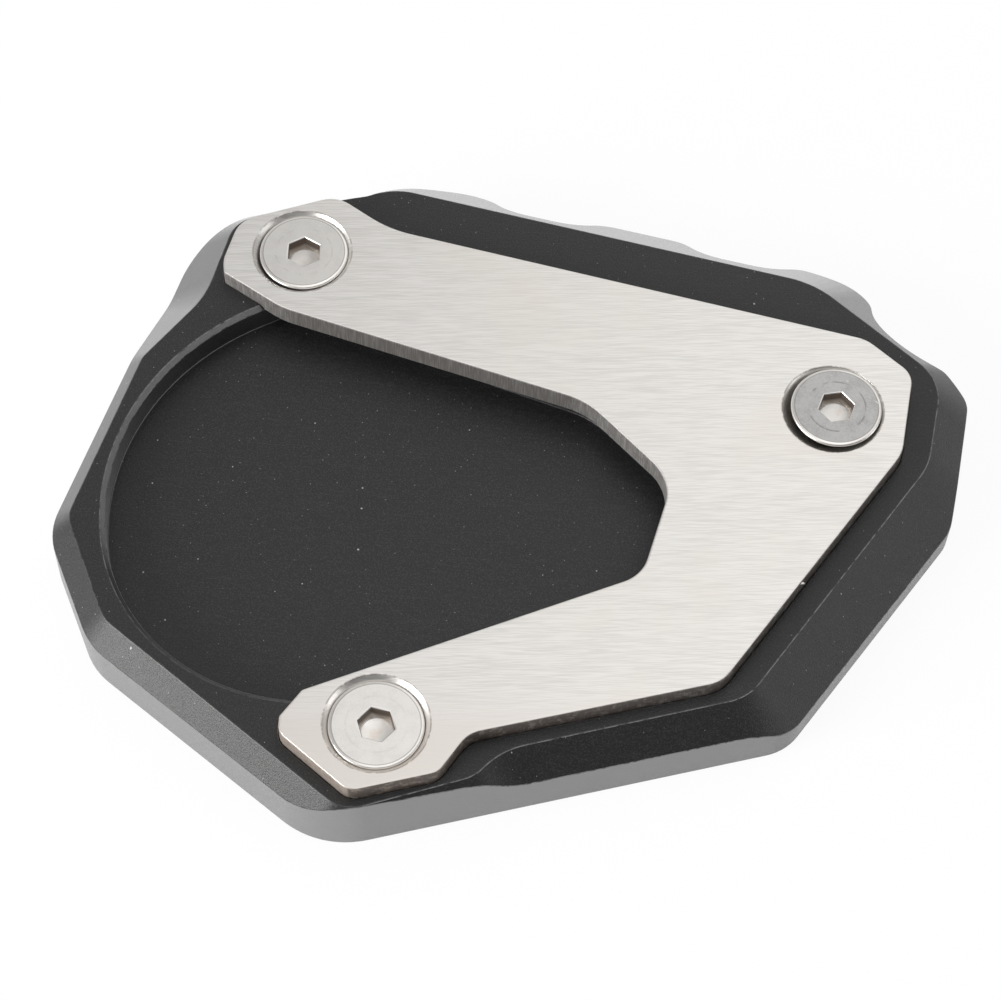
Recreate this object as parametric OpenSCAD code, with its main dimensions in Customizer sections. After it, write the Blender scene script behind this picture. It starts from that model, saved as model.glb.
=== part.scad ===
// Foot enlarger for a motorcycle side stand.
// A milled sole holds the stand's foot in a pocket, and a steel plate is screwed down over it.
// Lengths are millimetres. Z is 0 at the underside of the sole, and X and Y are 0 at the middle of its outline.

/* [Base plate] */
// Thickness of the base plate
base_t = 10; // [8:0.5:14]
// Angle of the milled rim, measured from the horizontal
rim_angle = 45; // [40:1:60]
// Depth of the pocket that takes the foot of the stand
pocket_depth = 4; // [2.5:0.5:6]
// Bevel along the upper edge of the pocket
pocket_bevel = 0.6; // [0.2:0.1:1]
// How far the pocket runs in under the arms of the clamp plate
pocket_reach = 2.2; // [1:0.2:3]
// X of the heel, the left end of the upper face
heel_x = -56.1; // [-60:0.5:-54]
// Y of the heel
heel_y = -8.9; // [-12:0.5:-6]

/* [Clamp plate] */
// Thickness of the clamp plate
plate_t = 3; // [2:0.5:5]
// Depth of the seat that locates the clamp plate in the base plate
seat_depth = 0.65; // [0.3:0.05:1]
// Gap round the clamp plate in its seat
seat_gap = 0.15; // [0.1:0.05:0.3]
// X of the toe, the corner of the clamp plate furthest to the front and right
toe_x = 25.1; // [22:0.5:28]
// Y of the toe
toe_y = -30.2; // [-33:0.5:-28]
// X of the throat, where the opening between the arms ends
throat_x = 18.7; // [14:0.5:21]
// Y of the throat
throat_y = -3.8; // [-6:0.5:-2]

/* [Screws] */
// Thread diameter of the screws
screw_d = 6; // [5:1:6]
// Length of a screw with its head
screw_len = 10; // [8:1:12]
// Diameter of the countersunk head
head_d = 11.6; // [11:0.1:11.8]
// Height of the straight rim of the head
head_rim = 0.35; // [0.2:0.05:0.5]
// Width of the hexagon socket across its flats
socket_w = 4; // [3:0.5:5]
// Depth of the hexagon socket
socket_depth = 2.3; // [1.5:0.1:2.6]
// How much wider the countersink is than the head, on the radius
countersink_gap = 0.7; // [0.5:0.1:1]
// Clearance between the cones of a head and its countersink
cone_gap = 0.05; // [0.03:0.01:0.1]
// Play of a screw's shank in the clamp plate, on the radius
shank_gap = 0.6; // [0.55:0.05:1]
// Gap between a thread and its tapped hole, on the radius
thread_gap = 0.05; // [0.03:0.01:0.1]
// X of the rear screw
rear_x = -29.3; // [-31:0.5:-27.5]
// Y of the rear screw
rear_y = 31; // [29:0.5:32.5]
// X of the side screw
side_x = 39.6; // [38:0.5:42]
// Y of the side screw
side_y = 9.2; // [8:0.5:11]
// X of the front screw
front_x = -16.1; // [-18:0.5:-14]
// Y of the front screw
front_y = -37.1; // [-38:0.5:-36]

/* [Hidden] */
$fn = 64;
arc_error = 0.01;
past = 1;
skim = 0.1;
least_r = 0.05;

rear = [rear_x, rear_y];
side = [side_x, side_y];
front = [front_x, front_y];
heel = [heel_x, heel_y];
toe = [toe_x, toe_y];
throat = [throat_x, throat_y];
middle = (rear + side) / 2;

// Each screw stands a little off the middle of its countersink, so each head seats at its own height.
screw_places = [rear, side, front];
screw_offsets = [[0.2, 0], [0.45, 0.25], [0, -0.05]];
socket_turns = [30, 11, 48];
countersink_r = head_d / 2 + countersink_gap;

plate_top = base_t - seat_depth + plate_t;
seat_floor = base_t - seat_depth;
pocket_floor = base_t - pocket_depth;
head_cone = (head_d - screw_d) / 2;
rim_reach = 8.6;

// A corner of an outline is its distance from a named place and its radius. The angle of one step
// of its arc is kept with it, so a moved outline has as many points.
function corner(place, dx, dy, r) = [place.x + dx, place.y + dy, r, 2 * acos(1 - arc_error / r)];

// Outline of the upper face of the base plate, inside the milled rim
face_corners = [
    corner(rear, -9.4, 6.2, 4.5),
    corner(rear, -12.4, -6.1, 13.8),
    corner(rear, -19.7, -15.9, 4.3),
    corner(heel, 0, 0, 4.2),
    corner(heel, 5.9, -14.2, 5.5),
    corner(front, -3.5, -10.5, 4.6),
    corner(front, 11.9, -5.4, 5),
    corner(front, 14.9, -1.9, 10),
    corner(toe, 3.3, -0.7, 6.5),
    corner(side, 12.2, -6.5, 9.1),
    corner(side, 14.5, 6.5, 6.9),
    corner(side, -1.6, 21, 13),
    corner(rear, 11.9, 12.3, 8.6),
];

// Outline of the base plate at the floor, with the waves along its far side
foot_corners = [
    corner(rear, -14.8, 6.1, 10.3),
    corner(heel, -2.5, -1.3, 7.5),
    corner(heel, 4, -16.4, 9.7),
    corner(front, -6.5, -11.3, 11.8),
    corner(toe, 8.8, -3, 7.1),
    corner(side, 15.6, -12.5, 5.6),
    corner(side, 18.7, 6.1, 3),
    corner(side, 15.6, 10.3, 1.5),
    corner(side, 6.2, 11.3, 9),
    corner(side, 7.1, 26, 5.1),
    corner(side, -2.6, 27.6, 2.8),
    corner(middle, 27.2, 13.9, 6.3),
    corner(middle, 18.8, 15.6, 6),
    corner(middle, 16, 20.5, 2.8),
    corner(middle, 5.3, 22.9, 4.2),
    corner(middle, 1.2, 19.6, 6.2),
    corner(middle, -7.7, 21.6, 5.8),
    corner(rear, 23.5, 16.7, 5.6),
    corner(rear, 16, 15.8, 16),
    corner(rear, 8.2, 11.1, 5),
];

// Opening between the arms of the clamp plate, from the tip of the front arm to the rear arm
opening_corners = [
    corner(front, -9.1, 4.1, 0.8),
    corner(throat, -3.3, -12, 5),
    corner(throat, 0, 0, 5.9),
    corner(throat, -1.2, 3.3, 6.4),
    corner(throat, -10.4, 12.9, 10.5),
    corner(rear, -2, -9.1, 10.9),
];

// Outline of the clamp plate, whose arms reach round the foot of the stand
plate_corners = concat(reversed(opening_corners), [
    corner(front, -11.6, 0.5, 0.9),
    corner(front, -11.6, -1.6, 2.2),
    corner(front, -2.8, -9, 2.5),
    corner(front, 7.6, -6.2, 2),
    corner(front, 11, -1, 3.8),
    corner(toe, 0, 0, 4.4),
    corner(side, 8.6, -6.3, 5.9),
    corner(side, 10.5, 5.7, 3.1),
    corner(side, 4.7, 10.9, 4.7),
    corner(rear, 11.2, 4.1, 15.5),
    corner(rear, 4, 9.2, 4.1),
    corner(rear, -8.6, 4.7, 3.9),
    corner(rear, -10.3, -1.8, 4.6),
    corner(rear, -10, -3.8, 0.5),
]);

// The pocket shows its own wall at the left, and elsewhere it follows the opening under the arms.
pocket_corners = concat([
    corner(rear, -1.8, -5.3, 0.5),
    corner(heel, 1.3, 21.6, 33.4),
    corner(heel, 6.8, -22.4, 26.6),
    corner(front, -8.6, 3.2, 4),
], middle_of(moved_out(opening_corners, pocket_reach)));

function reversed(list) = [for (i = [len(list) - 1 : -1 : 0]) list[i]];

// The list without its first and last corner
function middle_of(list) = [for (i = [1 : len(list) - 2]) list[i]];

function place_of(c) = [c.x, c.y];
function unit(v) = v / norm(v);
function along(a, b) = unit(place_of(b) - place_of(a));
function turn_of(a, b, c) = cross(along(a, b), along(b, c));
function right_of(v) = [v.y, -v.x];

// A list of corners moved outwards by d, with each radius changed to suit
function moved_out(list, d) = [
    for (i = [0 : len(list) - 1])
        let (
            a = list[(i + len(list) - 1) % len(list)],
            b = list[i],
            c = list[(i + 1) % len(list)],
            n1 = right_of(along(a, b)),
            n2 = right_of(along(b, c)),
            p = place_of(b) + (n1 + n2) * d / (1 + n1 * n2),
            bend = turn_of(a, b, c) > 0 ? 1 : -1
        )
        [p.x, p.y, max(b[2] + bend * d, least_r), b[3]]
];

// The points of the arc at corner b, between its neighbours a and c
function arc_at(a, b, c) =
    let (
        u = along(a, b),
        v = along(b, c),
        bend = turn_of(a, b, c) > 0 ? 1 : -1,
        full = acos(min(1, max(-1, u * v))),
        start = place_of(b) - u * b[2] * tan(full / 2),
        centre = start - right_of(u) * b[2] * bend,
        first = atan2(start.y - centre.y, start.x - centre.x),
        steps = ceil(full / b[3])
    )
    [
        for (k = [0 : steps])
            let (t = first + bend * full * k / steps)
            centre + b[2] * [cos(t), sin(t)]
    ];

// All points of an outline that runs anticlockwise through its corners
function outline(list) = [
    for (i = [0 : len(list) - 1])
        each arc_at(list[(i + len(list) - 1) % len(list)], list[i], list[(i + 1) % len(list)])
];

// A closed ring round an outline, to cut with. Its section runs anticlockwise, and each point of it is how
// far the outline moves out, and the height.
module ring(list, section) {
    loops = [
        for (s = section)
            [for (p = outline(moved_out(list, s.x))) [p.x, p.y, s.y]]
    ];
    n = len(loops[0]);
    m = len(section);
    polyhedron(
        points = [for (loop = loops) each loop],
        faces = [
            for (k = [0 : m - 1], i = [0 : n - 1])
                let (
                    next = (k + 1) % m,
                    j = (i + 1) % n
                )
                [k * n + i, next * n + i, next * n + j, k * n + j]
        ]
    );
}

// What the sloping cutter removes round the upper face, down past the edge of the foot outline
module rim_cut() {
    drop = rim_reach * tan(rim_angle);
    rise = past * tan(rim_angle);
    ring(face_corners, [
        [rim_reach, base_t - drop],
        [rim_reach, base_t + rise],
        [-past, base_t + rise],
    ]);
}

module foot_pocket() {
    wall = moved_out(pocket_corners, -pocket_bevel);
    translate([0, 0, pocket_floor])
        linear_extrude(pocket_depth + past)
            polygon(outline(wall));
    ring(wall, [
        [-skim, base_t - pocket_bevel - skim],
        [pocket_bevel + past, base_t + past],
        [-skim, base_t + past],
    ]);
}

module plate_seat() {
    translate([0, 0, seat_floor])
        linear_extrude(seat_depth + past)
            polygon(outline(moved_out(plate_corners, seat_gap)));
}

// Height of a head's face over the clamp plate, where its cone meets the countersink on one side
function head_rise(offset) = norm(offset) + cone_gap + head_rim - countersink_gap;

// Places its children with Z 0 at the face of each screw's head
module at_screws() {
    for (i = [0 : len(screw_places) - 1])
        translate(concat(screw_places[i] + screw_offsets[i], plate_top + head_rise(screw_offsets[i])))
            rotate([0, 0, socket_turns[i]])
                children();
}

// A hole right through the base plate, with a lead-in that clears the cone of the head
module tapped_hole() {
    depth = plate_top + past;
    cone = head_d / 2 + head_rim + cone_gap * sqrt(2);
    translate([0, 0, -depth])
        cylinder(h = depth, d = screw_d + 2 * thread_gap);
    translate([0, 0, -cone])
        cylinder(h = cone, r1 = 0, r2 = cone);
}

module base_plate() {
    color([0.22, 0.22, 0.23])
        difference() {
            linear_extrude(base_t)
                polygon(outline(foot_corners));
            rim_cut();
            foot_pocket();
            plate_seat();
            at_screws()
                tapped_hole();
        }
}

module countersunk_hole() {
    cylinder(h = plate_top + past, d = screw_d + 2 * shank_gap);
    translate([0, 0, plate_top - countersink_r])
        cylinder(h = countersink_r + past, r1 = 0, r2 = countersink_r + past);
}

module clamp_plate() {
    color([0.84, 0.83, 0.81])
        difference() {
            translate([0, 0, seat_floor])
                linear_extrude(plate_t)
                    polygon(outline(plate_corners));
            for (place = screw_places)
                translate(place)
                    countersunk_hole();
        }
}

// Profile of a screw from its tip to its head, turned round its axis
module screw() {
    r = screw_d / 2;
    tip = r / 4;
    edge = head_rim / 2;
    difference() {
        rotate_extrude()
            polygon([
                [0, -screw_len],
                [r - tip, -screw_len],
                [r, tip - screw_len],
                [r, -head_rim - head_cone],
                [head_d / 2, -head_rim],
                [head_d / 2, -edge],
                [head_d / 2 - edge, 0],
                [0, 0],
            ]);
        translate([0, 0, -socket_depth])
            cylinder(h = socket_depth + past, d = socket_w / cos(30), $fn = 6);
    }
}

module clamp_screws() {
    color([0.8, 0.79, 0.77])
        at_screws()
            screw();
}

base_plate();
clamp_plate();
clamp_screws();
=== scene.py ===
import math

import bmesh
import bpy
from mathutils import Matrix, Vector


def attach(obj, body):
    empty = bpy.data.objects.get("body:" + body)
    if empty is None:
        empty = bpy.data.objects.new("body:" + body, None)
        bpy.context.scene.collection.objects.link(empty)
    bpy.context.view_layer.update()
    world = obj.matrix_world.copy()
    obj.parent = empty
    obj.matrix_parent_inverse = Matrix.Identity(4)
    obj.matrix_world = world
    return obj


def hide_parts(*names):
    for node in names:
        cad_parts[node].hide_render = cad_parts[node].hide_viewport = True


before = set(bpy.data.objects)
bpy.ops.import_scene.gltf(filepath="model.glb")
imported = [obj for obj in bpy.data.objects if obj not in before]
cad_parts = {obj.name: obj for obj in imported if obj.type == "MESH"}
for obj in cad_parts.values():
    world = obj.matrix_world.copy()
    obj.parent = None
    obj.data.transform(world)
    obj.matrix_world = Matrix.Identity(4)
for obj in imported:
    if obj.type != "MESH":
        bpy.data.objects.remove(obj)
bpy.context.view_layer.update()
print("frame loaded")


# Shader maths: wraps one output socket, so a mask can be written as an expression
class Wave:
    def __init__(self, nodes, socket):
        self.nodes = nodes
        self.socket = socket

    def join(self, operation, first, second):
        return self.nodes.add("ShaderNodeMath", {"operation": operation}, {0: first, 1: second})

    def __add__(self, other):
        return self.join("ADD", self, other)

    def __radd__(self, other):
        return self.join("ADD", other, self)

    def __sub__(self, other):
        return self.join("SUBTRACT", self, other)

    def __rsub__(self, other):
        return self.join("SUBTRACT", other, self)

    def __mul__(self, other):
        return self.join("MULTIPLY", self, other)

    def __rmul__(self, other):
        return self.join("MULTIPLY", other, self)

    def size(self):
        return self.join("ABSOLUTE", self, 0)

    def larger(self, other):
        return self.join("MAXIMUM", self, other)

    def eased(self, low, high, first, second):    # goes from first to second between low and high
        return self.nodes.add("ShaderNodeMapRange", {"interpolation_type": "SMOOTHSTEP"},
                              {"Value": self, "From Min": low, "From Max": high,
                               "To Min": first, "To Max": second})

    def above(self, edge, soft):    # 0 below edge, 1 above edge + soft
        return self.eased(edge, edge + soft, 0, 1)

    def below(self, edge, soft):    # 1 below edge, 0 above edge + soft
        return 1 - self.above(edge, soft)


# The nodes of a material or of the world
class Nodes:
    def __init__(self, tree):
        self.tree = tree

    # Any node: its settings come first, then the values or links of its sockets
    def add(self, kind, settings, sockets, output=0):
        node = self.tree.nodes.new(kind)
        for key, value in settings.items():
            setattr(node, key, value)
        for key, value in sockets.items():
            if isinstance(value, Wave):
                self.tree.links.new(value.socket, node.inputs[key])
            elif value is not None:
                node.inputs[key].default_value = value
        return Wave(self, node.outputs[output])

    def part(self, vector, letter):
        return self.add("ShaderNodeSeparateXYZ", {}, {0: vector}, letter)

    def end(self, name, socket, wave):    # links a wave to a node that the tree came with
        self.tree.links.new(wave.socket, self.tree.nodes[name].inputs[socket])


# A material with its Principled shader; constants are set straight on its sockets
class Shader(Nodes):
    def __init__(self, name, constants):
        self.material = bpy.data.materials.new(name)
        self.material.use_nodes = True
        super().__init__(self.material.node_tree)
        self.surface = self.tree.nodes["Principled BSDF"]
        for socket, value in constants.items():
            self.surface.inputs[socket].default_value = value
        self.place = self.add("ShaderNodeTexCoord", {}, {}, "Object")
        self.facing = self.add("ShaderNodeTexCoord", {}, {}, "Normal")

    def moved(self, centre):
        return self.add("ShaderNodeVectorMath", {"operation": "SUBTRACT"}, {0: self.place, 1: centre})

    def radius(self, centre):    # distance from an upright axis
        flat = self.add("ShaderNodeVectorMath", {"operation": "MULTIPLY"},
                        {0: self.moved(centre), 1: (1, 1, 0)})
        return self.add("ShaderNodeVectorMath", {"operation": "LENGTH"}, {0: flat}, "Value")

    def mapped(self, scale, turn=0):    # turned about Z, then stretched
        turned = self.add("ShaderNodeMapping", {}, {"Vector": self.place, "Rotation": (0, 0, turn)})
        return self.add("ShaderNodeMapping", {}, {"Vector": turned, "Scale": scale})

    def noise(self, vector, scale=1, detail=2, rough=0.5):
        return self.add("ShaderNodeTexNoise", {}, {"Vector": vector, "Scale": scale, "Detail": detail,
                                                   "Roughness": rough}, "Fac")

    def specks(self, scale, radius, share, turn=0):    # small round spots, on that share of a grid's cells
        flat = {"voronoi_dimensions": "2D"}
        sockets = {"Vector": self.mapped((1, 1, 1), turn), "Scale": scale}
        away = self.add("ShaderNodeTexVoronoi", flat, sockets, "Distance")
        cell = self.add("ShaderNodeTexVoronoi", flat, sockets, "Color")
        chance = self.part(cell, "X")
        spread = self.part(cell, "Y")
        reach = radius * scale
        spot = (away - spread * reach * 0.6).below(reach * 0.4, reach * 0.3)
        return spot * chance.below(share, 0.001)

    def mix(self, mask, first, second):    # sockets 6 and 7 are the node's two colours
        colors = [value if isinstance(value, Wave) else (*value, 1) for value in (first, second)]
        return self.add("ShaderNodeMix", {"data_type": "RGBA"}, {0: mask, 6: colors[0], 7: colors[1]}, 2)

    def bump(self, height, strength, distance, under=None):
        return self.add("ShaderNodeBump", {}, {"Height": height, "Strength": strength, "Distance": distance,
                                               "Normal": under})

    def feed(self, **waves):
        names = {"color": "Base Color", "roughness": "Roughness", "metallic": "Metallic",
                 "coat": "Coat Weight", "normal": "Normal"}
        for key, wave in waves.items():
            self.end("Principled BSDF", names[key], wave)
        return self.material


# Camera, fitted to the three round screw heads and the parallel outlines
camera = {
    "place": (-0.00225, -0.1809, 0.30925),
    "down": 59.49,       # degrees below the horizon
    "roll": 1.92,
    "lens": 99.69,
}


def makeCamera():
    data = bpy.data.cameras.new("camera")
    data.lens = camera["lens"]
    data.sensor_width = 36
    made = bpy.data.objects.new("camera", data)
    bpy.context.scene.collection.objects.link(made)
    down = math.radians(camera["down"])
    roll = math.radians(camera["roll"])
    forward = Vector((0, math.cos(down), -math.sin(down)))
    right = Vector((1, 0, 0))
    lower = forward.cross(right)
    turnedRight = right * math.cos(roll) - lower * math.sin(roll)
    turnedLower = right * math.sin(roll) + lower * math.cos(roll)
    axes = Matrix((turnedRight, -turnedLower, -forward)).transposed()
    made.matrix_world = Matrix.Translation(camera["place"]) @ axes.to_4x4()
    bpy.context.scene.camera = made


makeCamera()
print("camera placed")


# Floor, world and lamps
studio = {
    "floorSize": 4.0,
    "floorGap": 0.0001,       # below the sole, so the two don't flicker
    "floorColor": (0.95, 0.95, 0.95),
    "floorGlow": 0.92,        # share of plain white that the camera and glossy surfaces see
    "worldSteps": [    # axis, where the change starts and ends, strength before and after it
        ("Z", 0.05, 0.75, 1, 0.42),      # from the horizon up to the ceiling
        ("Y", -0.75, -0.15, 0.3, 1),     # away from the front, where the camera stands
        ("X", 0.3, 0.8, 1, 0.45),        # towards the right
    ],
    "lamps": [    # name, place, size, power, colour
        ("backSoftbox", (0.42, 0.5, 0.88), 1.1, 2.8, (1, 0.995, 0.985)),
        ("topSoftbox", (0, -0.12, 1), 0.7, 1.5, (1, 0.995, 0.99)),
        ("leftSoftbox", (-0.83, -0.42, 0.36), 0.45, 11, (1, 0.99, 0.98)),
        ("rightFill", (0.86, -0.15, 0.28), 0.4, 1.1, (0.99, 0.995, 1)),
    ],
}


def clearSelection():
    for chosen in bpy.context.selected_objects:
        chosen.select_set(False)
    bpy.context.view_layer.objects.active = None


def makeFloor():
    clearSelection()
    bpy.ops.mesh.primitive_plane_add(size=studio["floorSize"], location=(0, 0, -studio["floorGap"]))
    floor = bpy.context.active_object
    floor.name = "floor"
    s = Shader("paleFloor", {"Base Color": (*studio["floorColor"], 1), "Roughness": 1,
                             "Specular IOR Level": 0})
    seen = s.add("ShaderNodeLightPath", {}, {}, "Is Camera Ray")
    mirrored = s.add("ShaderNodeLightPath", {}, {}, "Is Glossy Ray")
    share = (seen + mirrored) * studio["floorGlow"]
    plain = Wave(s, s.surface.outputs[0])
    glow = s.add("ShaderNodeEmission", {}, {"Color": (1, 1, 1, 1), "Strength": 1})
    pale = s.add("ShaderNodeMixShader", {}, {0: share, 1: plain, 2: glow})
    behind = s.add("ShaderNodeNewGeometry", {}, {}, "Backfacing")    # the floor is clear from underneath
    clear = s.add("ShaderNodeBsdfTransparent", {}, {})
    s.end("Material Output", "Surface", s.add("ShaderNodeMixShader", {}, {0: behind, 1: pale, 2: clear}))
    floor.data.materials.append(s.material)


def makeWorld():
    world = bpy.data.worlds.new("studio")
    world.use_nodes = True
    bpy.context.scene.world = world
    s = Nodes(world.node_tree)
    direction = s.add("ShaderNodeTexCoord", {}, {}, "Generated")
    strength = 1
    for axis, low, high, first, second in studio["worldSteps"]:
        strength = strength * s.part(direction, axis).eased(low, high, first, second)
    seen = s.add("ShaderNodeLightPath", {}, {}, "Is Camera Ray")
    s.end("Background", "Strength", strength.larger(seen))
    s.tree.nodes["Background"].inputs["Color"].default_value = (1, 1, 1, 1)


def makeLamps():
    for name, place, size, power, colour in studio["lamps"]:
        data = bpy.data.lights.new(name, "AREA")
        data.size = size
        data.energy = power
        data.color = colour
        lamp = bpy.data.objects.new(name, data)
        lamp.location = place
        lamp.rotation_euler = (-Vector(place)).to_track_quat("-Z", "Y").to_euler()
        bpy.context.scene.collection.objects.link(lamp)


makeFloor()
makeWorld()
makeLamps()
bpy.context.scene.view_settings.view_transform = "Standard"
print("studio set")


# Points nearer than this are joined, and edges flatter than this go
mend = {
    "weld": 2e-6,
    "flat": math.radians(0.3),
}


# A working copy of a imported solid, with its loose triangles and shortest edges merged away
def solidCopy(node, name, shortest):
    clearSelection()
    piece = bpy.data.objects.new(name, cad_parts[node].data.copy())
    piece.data.name = name
    piece.data.materials.clear()
    bpy.context.scene.collection.objects.link(piece)
    piece.select_set(True)
    bpy.context.view_layer.objects.active = piece
    bpy.ops.object.mode_set(mode="EDIT")
    for near in (mend["weld"], shortest):
        bpy.ops.mesh.select_all(action="SELECT")
        bpy.ops.mesh.remove_doubles(threshold=near)
        bpy.ops.mesh.dissolve_limited(angle_limit=mend["flat"])
    bpy.ops.mesh.select_all(action="DESELECT")
    bpy.ops.object.mode_set(mode="OBJECT")
    return piece


def pickEdges(piece, test):    # leaves the edges that pass a test selected in edit mode
    bpy.ops.object.mode_set(mode="EDIT")
    bpy.ops.mesh.select_mode(type="EDGE")
    mesh = bmesh.from_edit_mesh(piece.data)
    for edge in mesh.edges:
        edge.select_set(test(edge))
    bmesh.update_edit_mesh(piece.data)


def endEditing():
    bpy.ops.mesh.select_all(action="DESELECT")
    bpy.ops.object.mode_set(mode="OBJECT")


def bevelEdges(piece, width, segments, test):
    pickEdges(piece, test)
    bpy.ops.mesh.bevel(offset=width, segments=segments, clamp_overlap=False)
    endEditing()


def sharpenEdges(piece, test):
    pickEdges(piece, test)
    bpy.ops.mesh.mark_sharp()
    endEditing()


def weighNormals(piece, angle):    # smooth across small steps, flat on the broad faces
    bpy.ops.object.shade_smooth_by_angle(angle=math.radians(angle))
    weigh = piece.modifiers.new("normals", "WEIGHTED_NORMAL")
    weigh.weight = 100    # the broad faces alone set the normals
    weigh.keep_sharp = True
    bpy.ops.object.modifier_apply(modifier=weigh.name)


def rollEdges(piece, width, segments, angle, material=-1):    # angle 0 goes by the edges' weights
    bevel = piece.modifiers.new("edges", "BEVEL")
    bevel.width = width
    bevel.segments = segments
    bevel.limit_method = "ANGLE" if angle else "WEIGHT"
    bevel.angle_limit = math.radians(angle)
    bevel.use_clamp_overlap = False
    bevel.material = material
    bpy.ops.object.modifier_apply(modifier=bevel.name)


# Adds one piece to another or cuts it out; the second is used up
def joinPieces(piece, tool, how):
    change = piece.modifiers.new("join", "BOOLEAN")
    change.object = tool
    change.operation = how
    change.solver = "EXACT"
    clearSelection()
    piece.select_set(True)
    bpy.context.view_layer.objects.active = piece
    bpy.ops.object.modifier_apply(modifier=change.name)
    bpy.data.objects.remove(tool)


def placePiece(piece, node):
    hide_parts(node)
    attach(piece, "root")


# The sole: milled and anodised black
sole = {
    "pocketFloor": 0.006,
    "pocketMiddle": (-0.0173, -0.005, 0),
    "shortest": 0.00012,      # shorter edges are merged away
    "pocketFillet": 0.0002,
    "filletSegments": 4,
    "edgeRadius": 0.0001,
    "edgeSegments": 2,
    "edgeAngle": 40,          # edges sharper than this are rubbed, in degrees
    "smoothAngle": 50,
    "grainScale": 5200,
    "millScale": (250, 3800, 600),
    "millTurn": math.radians(4),
    "cloudScale": 60,
    "wearScale": 900,
    "black": (0.004, 0.004, 0.0042),
    "grainTone": (0.03, 0.0298, 0.03),
    # painted reflection: the outer walls get a lighter grey than the black top, for the bright floor they
    # face
    "wallReflectionTone": (0.16, 0.16, 0.162),
    # painted highlight on the pocket's bevel at the left
    "lipHighlight": (0.19, 0.19, 0.192),
    "dust": (0.4, 0.4, 0.4),
    "dustSpots": (300, 0.00011, 0.07),    # the grid, the largest radius, the share of cells and a turn
    "lintSpots": (800, 0.00006, 0.16, 0.7),
    # worn edges, painted lighter still where they face right: a painted highlight
    "edgeWearAndHighlight": (0.19, 0.19, 0.192),
    "finish": {"IOR": 1.5, "Sheen Weight": 0.4, "Sheen Roughness": 0.35,
               "Coat IOR": 1.8, "Coat Roughness": 0.12},
}


def soleMaterial():
    s = Shader("blackAnodised", sole["finish"])
    grain = s.noise(s.place, sole["grainScale"], 2, 0.7)
    milled = s.noise(s.mapped(sole["millScale"], sole["millTurn"]), 1, 2, 0.6)
    cloud = s.noise(s.place, sole["cloudScale"], 3, 0.6)
    upward = s.part(s.facing, "Z")
    level = upward.size()
    outward = s.add("ShaderNodeVectorMath", {"operation": "DOT_PRODUCT"},
                    {0: s.facing, 1: s.moved(sole["pocketMiddle"])}, "Value")
    wall = level.below(0.25, 0.2) * outward.above(0, 0.001)    # the outer walls, and not the pocket's; painted lighter than the top as a painted reflection of the bright floor
    fleck = grain.above(0.5, 0.12) * 0.7 + milled.above(0.5, 0.25) * 0.2
    color = s.mix(fleck, sole["black"], sole["grainTone"])
    # painted reflection: the outer walls are painted lighter grey
    color = s.mix(wall, color, sole["wallReflectionTone"])
    turned = s.part(s.facing, "X") * 0.8 - s.part(s.facing, "Y") * 0.6
    sloping = level.below(0.85, 0.05) * level.above(0.5, 0.1)
    lip = sloping * outward.below(-0.012, 0.002) * turned.above(0.35, 0.2)    # the pocket's bevel at the left, painted lighter where it faces right and forward: a painted highlight
    color = s.mix(lip * (grain * 0.6 + 0.5), color, sole["lipHighlight"])
    dust = s.specks(*sole["dustSpots"]) * level.above(0.5, 0.2)
    lint = s.specks(*sole["lintSpots"]) * level.above(0.5, 0.2)
    color = s.mix(dust * 0.9 + lint * 0.5, color, sole["dust"])
    back = s.part(s.facing, "Y") - s.part(s.facing, "X") * 0.5
    rim = level.below(0.85, 0.1) * level.above(0.4, 0.1) * back.above(0.05, 0.45)    # glossy at the far side
    roughness = 0.34 + grain * 0.12 + cloud * 0.06
    shown = upward.above(-0.8, 0.4) * 0.85 + 0.15    # the underside lies flat on the ground and is smoother
    normal = s.bump(grain * shown, 0.8, 0.00006, s.bump(milled * shown, 0.25, 0.00001))
    return s.feed(color=color, roughness=roughness, coat=rim, normal=normal)


# The sole's rubbed edges: real wear, plus a painted highlight on the edges that face right
def soleEdgeMaterial():
    s = Shader("wornAndHighlightedEdge", sole["finish"])
    wear = s.noise(s.place, sole["wearScale"], 3, 0.7)
    turned = s.part(s.facing, "X") * 0.9 - s.part(s.facing, "Y") * 0.45
    share = turned.above(0.22, 0.12) * 0.75 + 0.25    # painted highlight: the worn patches are painted lightest on the edges that face right
    return s.feed(color=s.mix(wear.above(0.3, 0.3) * share, sole["black"], sole["edgeWearAndHighlight"]),
                  roughness=0.3 + wear * 0.15)


def makeSole():
    piece = solidCopy("base_plate", "sole", sole["shortest"])

    def atPocketFloor(edge):
        low = all(abs(corner.co.z - sole["pocketFloor"]) < 1e-5 for corner in edge.verts)
        return low and len(edge.link_faces) == 2 and edge.calc_face_angle(0) > math.radians(60)

    bevelEdges(piece, sole["pocketFillet"], sole["filletSegments"], atPocketFloor)
    piece.data.materials.append(soleMaterial())
    piece.data.materials.append(soleEdgeMaterial())
    rollEdges(piece, sole["edgeRadius"], sole["edgeSegments"], sole["edgeAngle"], material=1)
    weighNormals(piece, sole["smoothAngle"])
    placePiece(piece, "base_plate")


makeSole()
print("sole made")

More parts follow.
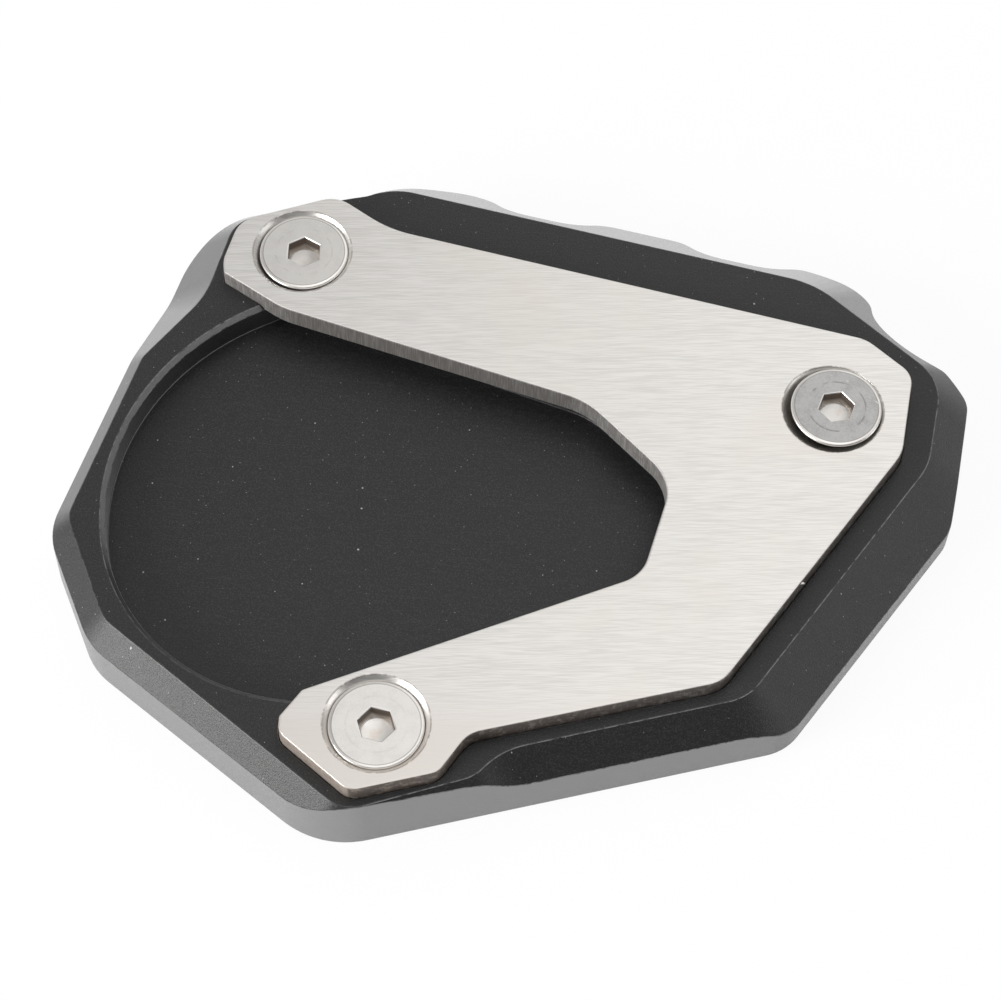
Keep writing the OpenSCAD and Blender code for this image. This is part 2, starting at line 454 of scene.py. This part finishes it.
# The clamp plate: brushed steel, its edges rubbed down
plate = {
    "top": 0.01235,
    "shortest": 0.00003,
    "edgeRadius": 0.00024,
    "edgeSegments": 4,
    "smoothAngle": 50,
    "holeShare": 0.2,          # the countersinks' mouths are this much as round as the outline
    "burr": (0.0351, -0.0162, 0.01215),
    "burrSize": 0.0004,
    "steel": (0.80, 0.78, 0.755),
    "line": (0.62, 0.60, 0.57),
    "stain": (0.76, 0.71, 0.65),
    "edge": (0.31, 0.302, 0.292),
    "edgeLine": (0.19, 0.182, 0.175),
    "tarnishAndShade": (0.07, 0.055, 0.046),    # dark blotches on the edges, and painted shade on the edge that faces right and forward
    "warm": (0.72, 0.665, 0.615),       # the front arm is a little browner, and its edge more so
    "warmEdge": (0.36, 0.30, 0.255),
    "frontArm": -0.036,
    "holes": ((-0.0293, 0.031, 0), (0.0396, 0.0092, 0), (-0.0161, -0.0371, 0)),
    "holeRadius": 0.0065,
    "mouthShade": (0.26, 0.22, 0.19),        # painted shade, a thin dark line round each countersink
    "brushScale": (210, 8000, 210),
    "brushTurn": math.radians(-4),
    "strokeScale": (100, 4200, 100),
    "strokeTurn": math.radians(3),
    "cutScale": (7000, 7000, 300),
    "cloudScale": 60,
    "blotchScale": 1100,
}


def plateMaterial():
    s = Shader("brushedSteel", {"Metallic": 1})
    level = s.part(s.facing, "Z").size()
    front = s.part(s.place, "Y").below(plate["frontArm"] - 0.004, 0.01)
    brush = s.noise(s.mapped(plate["brushScale"], plate["brushTurn"]), 1, 2, 0.6)
    stroke = s.noise(s.mapped(plate["strokeScale"], plate["strokeTurn"]), 1, 2, 0.6)
    cloud = s.noise(s.place, plate["cloudScale"], 3, 0.6)
    top = s.mix(brush.below(0.38, 0.2) * (0.55 - front * 0.4), plate["steel"], plate["line"])
    top = s.mix(stroke.above(0.5, 0.15) * (0.3 - front * 0.2), top, plate["line"])
    top = s.mix(front * 0.6, top, plate["warm"])
    top = s.mix(cloud.above(0.5, 0.2) * 0.4, top, plate["stain"])
    cut = s.noise(s.mapped(plate["cutScale"]), 1, 2, 0.6)
    side = s.mix(cut.above(0.42, 0.25), plate["edgeLine"], plate["edge"])
    blotch = s.noise(s.place, plate["blotchScale"], 3, 0.65)
    side = s.mix(front * 0.7, side, plate["warmEdge"])
    side = s.mix(blotch.above(0.5, 0.15) * 0.3, side, plate["tarnishAndShade"])
    turned = s.part(s.facing, "X") * 0.8 - s.part(s.facing, "Y") * 0.6
    outer = 1
    mouthShade = 0
    for hole in plate["holes"]:
        away = s.radius(hole)
        outer = away.above(plate["holeRadius"] + 0.0003, 0.0003) * outer
        mouthShade = (away - plate["holeRadius"]).size().below(0.00006, 0.00008) + mouthShade
    # painted shade: the edge that faces right and forward is darkened
    right = turned.above(0.25, 0.2) * outer
    side = s.mix(right * blotch.below(0.5, 0.15) * 0.8, side, plate["tarnishAndShade"])
    onTop = level.above(0.35, 0.3) * (1 - outer) + level.above(0.65, 0.25) * outer
    # painted shade round each countersink's mouth
    top = s.mix(mouthShade * blotch.above(0.35, 0.2) * 0.55, top, plate["mouthShade"])
    normal = s.bump(brush * (1 - front * 0.6), 0.3, 0.000008)
    normal = s.bump(cut * (1 - onTop) * (1 - front * 0.7), 0.4, 0.00002, normal)
    return s.feed(color=s.mix(onTop, side, top), roughness=0.33 + brush * 0.1 + (1 - onTop) * 0.2,
                  metallic=0.45 + onTop * 0.55, normal=normal)


def weighEdges(piece):    # how round each edge of the top face is rubbed
    bpy.ops.object.mode_set(mode="EDIT")
    mesh = bmesh.from_edit_mesh(piece.data)
    weights = mesh.edges.layers.float.new("bevel_weight_edge")
    for edge in mesh.edges:
        high = all(corner.co.z > plate["top"] - 1e-5 for corner in edge.verts)
        if high and edge.calc_face_angle(0) > math.radians(30):
            edge[weights] = 1 if edge.calc_face_angle(0) > math.radians(60) else plate["holeShare"]
    bmesh.update_edit_mesh(piece.data)
    bpy.ops.object.mode_set(mode="OBJECT")


def addBurr(piece):    # a chip of metal turned up at the edge
    clearSelection()
    bpy.ops.mesh.primitive_ico_sphere_add(subdivisions=1, radius=plate["burrSize"], location=plate["burr"])
    chip = bpy.context.active_object
    bpy.ops.transform.resize(value=(1, 0.6, 0.5))
    joinPieces(piece, chip, "UNION")


def makePlate():
    piece = solidCopy("clamp_plate", "plate", plate["shortest"])
    piece.data.materials.append(plateMaterial())
    weighEdges(piece)
    rollEdges(piece, plate["edgeRadius"], plate["edgeSegments"], angle=0)
    addBurr(piece)
    weighNormals(piece, plate["smoothAngle"])
    placePiece(piece, "clamp_plate")


makePlate()
print("plate made")

# The three countersunk screws, each with its own marks
screw = {
    "headRadius": 0.0058,
    "rim": 0.00035,
    "cone": 0.0028,
    "shankRadius": 0.003,
    "length": 0.01,
    "tip": 0.00075,
    "tipShare": 0.75,          # the tip's end face is this much of the shank
    "sides": 96,
    "socketRadius": 0.004 / math.sqrt(3),
    "socketDepth": 0.0023,
    "drillDepth": 0.0004,
    "drillShare": 0.84,        # the drill cone is this much of the socket
    "drillSides": 48,
    "ring": 0.00045,           # the head's outer ring slopes down a little
    "ringDrop": 0.00006,
    "edgeRadius": 0.00027,
    "edgeSegments": 4,
    "socketEdge": 0.0002,
    "socketSegments": 3,
    "smoothAngle": 35,
    "turnScale": 9000,
    "cloudScale": 500,
    "grainScale": 8000,
    "side": (0.82, 0.80, 0.77),
    "sideStain": (0.66, 0.63, 0.59),
    "wornRadius": 0.0037,      # a dark ring that a tool left on the face
    "wornScale": 700,
    "wornTone": (0.14, 0.13, 0.12),
    "seamTone": (0.20, 0.18, 0.16),
    "scratchTone": (0.85, 0.83, 0.8),
    "wallTop": (0.16, 0.125, 0.10),    # the socket's wall, darker near the face and painted lighter towards the bottom as a painted reflection of the bright bottom
    "wallLowReflection": (0.62, 0.56, 0.50),
    # painted highlight: the socket's bottom is near white, with stains
    "bottomHighlight": (1, 0.98, 0.95),
    "bottomStain": (0.95, 0.88, 0.80),
    "scratchScale": (500, 4000, 500),
    "scratchTurn": math.radians(40),
    "each": [    # name, middle of the face, turn of the socket, tone of the face, strength of its marks
        ("rearScrew", (-0.0291, 0.031, 0.01225), 0, (0.76, 0.74, 0.71), 0.25),
        ("sideScrew", (0.04005, 0.00945, 0.0125648), -19, (0.47, 0.465, 0.46), 1),
        ("frontScrew", (-0.0161, -0.03715, 0.0121), 18, (0.80, 0.775, 0.745), 0.15),
    ],
}


def screwMaterial(name, place, tone, marks):
    s = Shader(name + "Steel", {"Metallic": 1})
    away = s.radius(place)
    level = s.part(s.facing, "Z")
    height = s.part(s.moved(place), "Z")
    rings = s.noise(s.add("ShaderNodeCombineXYZ", {}, {0: away * screw["turnScale"]}), 1, 2, 0.6)
    cloud = s.noise(s.place, screw["cloudScale"], 4, 0.65)
    grain = s.noise(s.place, screw["grainScale"], 2, 0.6)
    face = level.above(0.97, 0.02) * height.above(-0.0001, 0.00005)
    darker = tuple(v * (0.85 - 0.3 * marks) for v in tone)
    color = s.mix(cloud.above(0.45, 0.3) * 0.35, screw["side"], screw["sideStain"])
    mottle = rings.above(0.4, 0.3) * 0.2 + grain.above(0.4, 0.3) * 0.3 + cloud.above(0.4, 0.3) * 0.3
    color = s.mix(face, color, s.mix(mottle, tone, darker))
    worn = (away - screw["wornRadius"]).size().below(0.00006, 0.00008)
    worn = worn * s.noise(s.place, screw["wornScale"]).above(0.4, 0.15)
    color = s.mix(worn * face * marks * 0.5, color, screw["wornTone"])
    seam = (away - (screw["headRadius"] - screw["ring"])).size().below(0.00004, 0.00005)
    color = s.mix(seam * height.above(-0.0003, 0.0001) * 0.5, color, screw["seamTone"])
    scratch = s.noise(s.mapped(screw["scratchScale"], screw["scratchTurn"]), 1, 3, 0.7).above(0.64, 0.04)
    color = s.mix(scratch * cloud.above(0.52, 0.1) * face * marks, color, screw["scratchTone"])
    inside = height.below(-0.0002, 0.0001) * away.below(0.0024, 0.0002)
    wall = inside * level.below(0.4, 0.3)
    bottom = inside * level.above(0.4, 0.3)
    depth = height.below(-0.002, 0.0009)
    # painted reflection: the socket's wall grows lighter towards the bottom
    color = s.mix(wall, color, s.mix(depth, screw["wallTop"], screw["wallLowReflection"]))
    # painted highlight: the socket's bottom is painted near white and made less metallic, so it looks
    # brightly lit
    color = s.mix(bottom, color, s.mix(cloud.above(0.5, 0.2), screw["bottomHighlight"], screw["bottomStain"]))
    return s.feed(color=color, roughness=0.28 + cloud * 0.12, metallic=1 - bottom * 0.3 - wall * 0.4,
                  normal=s.bump(rings, 0.2, 0.00001))


def pullBottom(piece, drop, share):    # carries the lowest face down and narrows it
    bpy.ops.mesh.select_mode(type="FACE")
    bpy.ops.mesh.select_all(action="DESELECT")
    mesh = bmesh.from_edit_mesh(piece.data)
    lowest = min(mesh.faces, key=lambda face: (round(face.calc_center_median().z, 6), face.normal.z))
    lowest.select_set(True)
    bmesh.update_edit_mesh(piece.data)
    bpy.ops.mesh.extrude_region_move(TRANSFORM_OT_translate={"value": (0, 0, -drop)})
    bpy.ops.transform.resize(value=(share, share, 1))


def raiseFace(piece):    # lifts the head's face out of its ring
    bpy.ops.object.mode_set(mode="EDIT")
    bpy.ops.mesh.select_mode(type="FACE")
    mesh = bmesh.from_edit_mesh(piece.data)
    highest = max(mesh.faces, key=lambda face: (round(face.calc_center_median().z, 6), face.normal.z))
    highest.select_set(True)
    bmesh.update_edit_mesh(piece.data)
    bpy.ops.mesh.inset(thickness=screw["ring"] - screw["edgeRadius"])
    bpy.ops.transform.translate(value=(0, 0, screw["ringDrop"]))
    endEditing()
    sharpenEdges(piece, lambda edge: all(corner.co.z > -1e-6 for corner in edge.verts))


def makeScrewShape():
    clearSelection()
    height = screw["rim"] - screw["ringDrop"]
    bpy.ops.mesh.primitive_cylinder_add(vertices=screw["sides"], radius=screw["headRadius"], depth=height,
                                        location=(0, 0, height / 2 - screw["rim"]))
    piece = bpy.context.active_object
    bpy.ops.object.transform_apply(location=True, rotation=True, scale=True)
    bpy.ops.object.mode_set(mode="EDIT")
    shank = screw["length"] - screw["rim"] - screw["cone"] - screw["tip"]
    pullBottom(piece, screw["cone"], screw["shankRadius"] / screw["headRadius"])
    pullBottom(piece, shank, 1)
    pullBottom(piece, screw["tip"], screw["tipShare"])
    bpy.ops.object.mode_set(mode="OBJECT")
    bevelEdges(piece, screw["edgeRadius"], screw["edgeSegments"],
               lambda edge: all(corner.co.z > -screw["ringDrop"] - 1e-6 for corner in edge.verts))
    raiseFace(piece)
    over = 0.001    # how far the socket's cutter stands above the face
    clearSelection()
    bpy.ops.mesh.primitive_cylinder_add(vertices=6, radius=screw["socketRadius"],
                                        depth=screw["socketDepth"] + over,
                                        location=(0, 0, (over - screw["socketDepth"]) / 2))
    joinPieces(piece, bpy.context.active_object, "DIFFERENCE")
    clearSelection()
    bpy.ops.mesh.primitive_cone_add(vertices=screw["drillSides"], radius1=0,
                                    radius2=screw["socketRadius"] * screw["drillShare"],
                                    depth=screw["drillDepth"],
                                    location=(0, 0, -screw["socketDepth"] - screw["drillDepth"] / 2 + 1e-5))
    joinPieces(piece, bpy.context.active_object, "DIFFERENCE")

    def roundDrill(edge):
        return all(abs(corner.co.z + screw["socketDepth"]) < 2e-5
                   and corner.co.xy.length < screw["socketRadius"] * (screw["drillShare"] + 0.01)
                   for corner in edge.verts)

    def aroundSocket(edge):
        near = all(corner.co.xy.length < screw["socketRadius"] * 1.02 for corner in edge.verts)
        return near and all(corner.co.z > -1e-6 for corner in edge.verts)

    sharpenEdges(piece, roundDrill)
    bevelEdges(piece, screw["socketEdge"], screw["socketSegments"], aroundSocket)
    return piece


def makeScrews():
    pattern = makeScrewShape()
    for name, place, turn, tone, marks in screw["each"]:
        clearSelection()
        piece = bpy.data.objects.new(name, pattern.data.copy())
        bpy.context.scene.collection.objects.link(piece)
        piece.data.name = name
        piece.location = place
        piece.rotation_euler = (0, 0, math.radians(turn))
        piece.select_set(True)
        bpy.context.view_layer.objects.active = piece
        bpy.ops.object.transform_apply(location=True, rotation=True, scale=True)
        piece.data.materials.append(screwMaterial(name, place, tone, marks))
        weighNormals(piece, screw["smoothAngle"])
        placePiece(piece, "clamp_screws")
    bpy.data.objects.remove(pattern)


makeScrews()
print("screws made")
